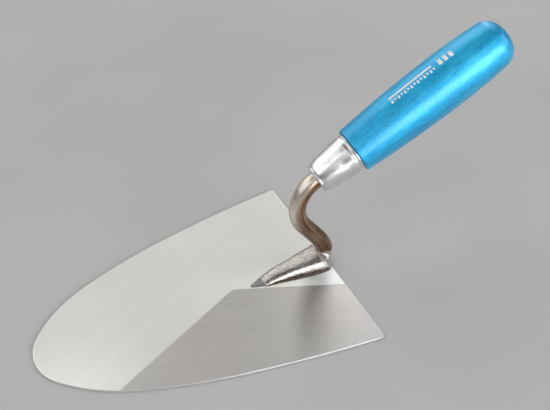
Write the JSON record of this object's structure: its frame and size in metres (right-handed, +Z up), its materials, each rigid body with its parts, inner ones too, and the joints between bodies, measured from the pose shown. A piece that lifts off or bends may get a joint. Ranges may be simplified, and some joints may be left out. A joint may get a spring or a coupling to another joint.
{
  "type": "brick trowel",
  "caption": "Tongue-shaped brick trowel: flat ground steel blade, forged swan neck, plated ferrule and turned lacquered wooden grip.",
  "frame": {"origin": "on the sole, on the centreline, under the middle of the foot, 20 mm ahead of the heel edge", "axes": "+Z up out of the blade, -X towards the blade's tip, +X towards the handle, XZ is the mirror plane"},
  "size_m": [0.2675, 0.131, 0.1144],
  "materials": {
    "blade_steel": "satin ground, fine straight grain along each side",
    "forged_steel": "brown heat tint and oxide on the neck, ground bright on the foot",
    "weld_steel": "as welded",
    "plated_steel": "bright nickel plate",
    "lacquered_wood": "metallic blue lacquer under a clear coat, fine grain showing"
  },
  "bodies": {
    "root": {"blade": "blade_steel", "shank": "forged_steel", "foot_weld": "weld_steel", "ferrule": "plated_steel", "handle": "lacquered_wood"}
  },
  "joints": []
}
